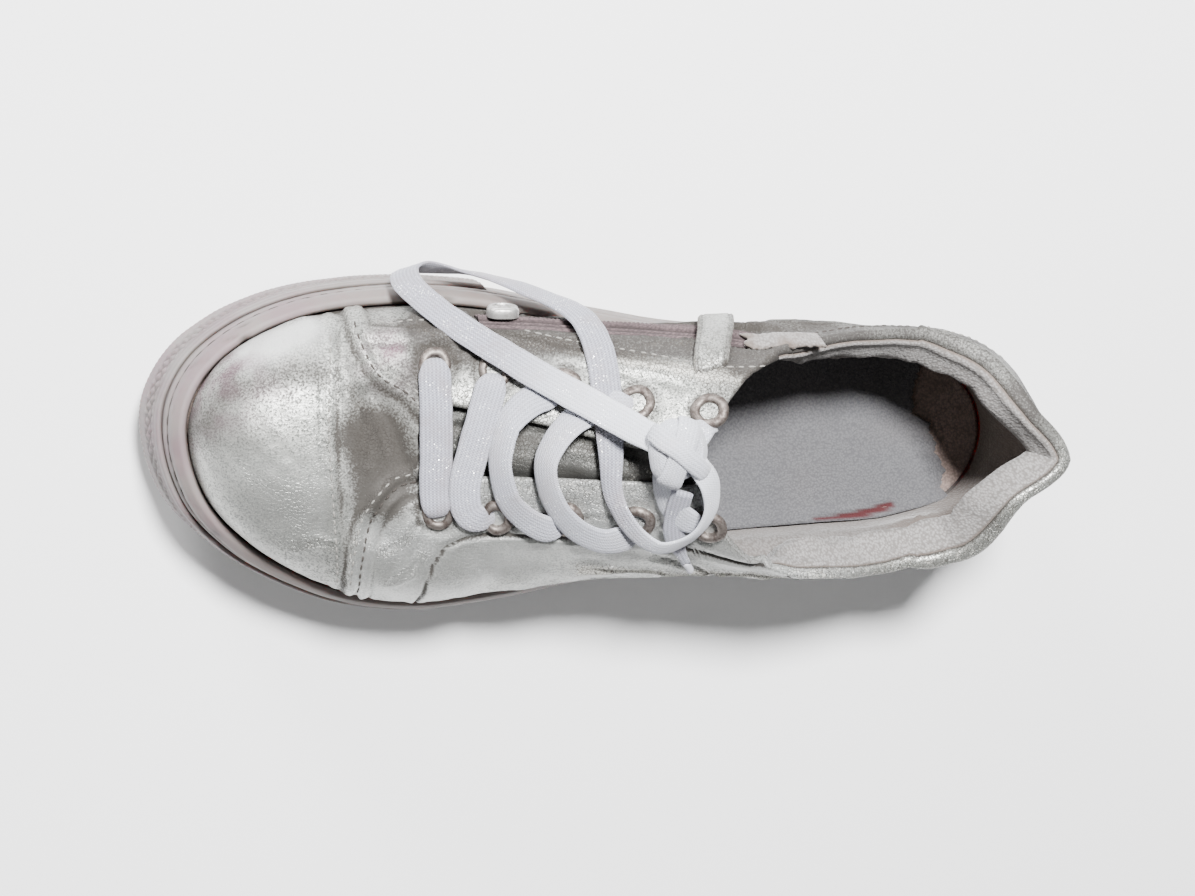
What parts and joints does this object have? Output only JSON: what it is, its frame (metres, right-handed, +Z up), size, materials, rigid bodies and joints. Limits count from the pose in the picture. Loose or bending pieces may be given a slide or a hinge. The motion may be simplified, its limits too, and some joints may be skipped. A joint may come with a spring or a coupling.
{
  "type": "sneaker",
  "caption": "Worn left low-top flatform sneaker in cracked metallic silver, with a ribbed white cup sole, flat white laces and an inner-side zip.",
  "frame": {"origin": "on the floor under the middle of the heel seat", "axes": "+X to the toe, +Y to the outer side of the foot, +Z up"},
  "size_m": [0.2753, 0.1092, 0.0984],
  "materials": {
    "silver_leather": "cracked metallic foil on a light grey cloth backing, scuffed",
    "rubber": "moulded white rubber, grimy in its grooves",
    "insole_cloth": "worn grey-white cloth",
    "zip_cloth": "woven tape with a nylon coil",
    "lace_cotton": "flat tubular weave with a fine sparkle",
    "metal": "dull worn plating"
  },
  "bodies": {
    "root": {"outsole": "rubber", "midsole": "rubber", "toe_bumper": "rubber", "insole": "insole_cloth", "upper": "silver_leather", "tongue": "silver_leather", "zip_tape": "zip_cloth", "zip_slider": "metal", "zip_tab": "silver_leather", "lace_knot": "lace_cotton", "lace_loop": "lace_cotton", "lace_tip": "lace_cotton", "lace_bar_1": "lace_cotton", "eyelet_lateral_1": "metal", "eyelet_medial_1": "metal", "lace_bar_2": "lace_cotton", "eyelet_lateral_2": "metal", "eyelet_medial_2": "metal", "lace_bar_3": "lace_cotton", "eyelet_lateral_3": "metal", "eyelet_medial_3": "metal", "lace_bar_4": "lace_cotton", "eyelet_lateral_4": "metal", "eyelet_medial_4": "metal", "lace_bar_5": "lace_cotton", "eyelet_lateral_5": "metal", "eyelet_medial_5": "metal"}
  },
  "joints": []
}
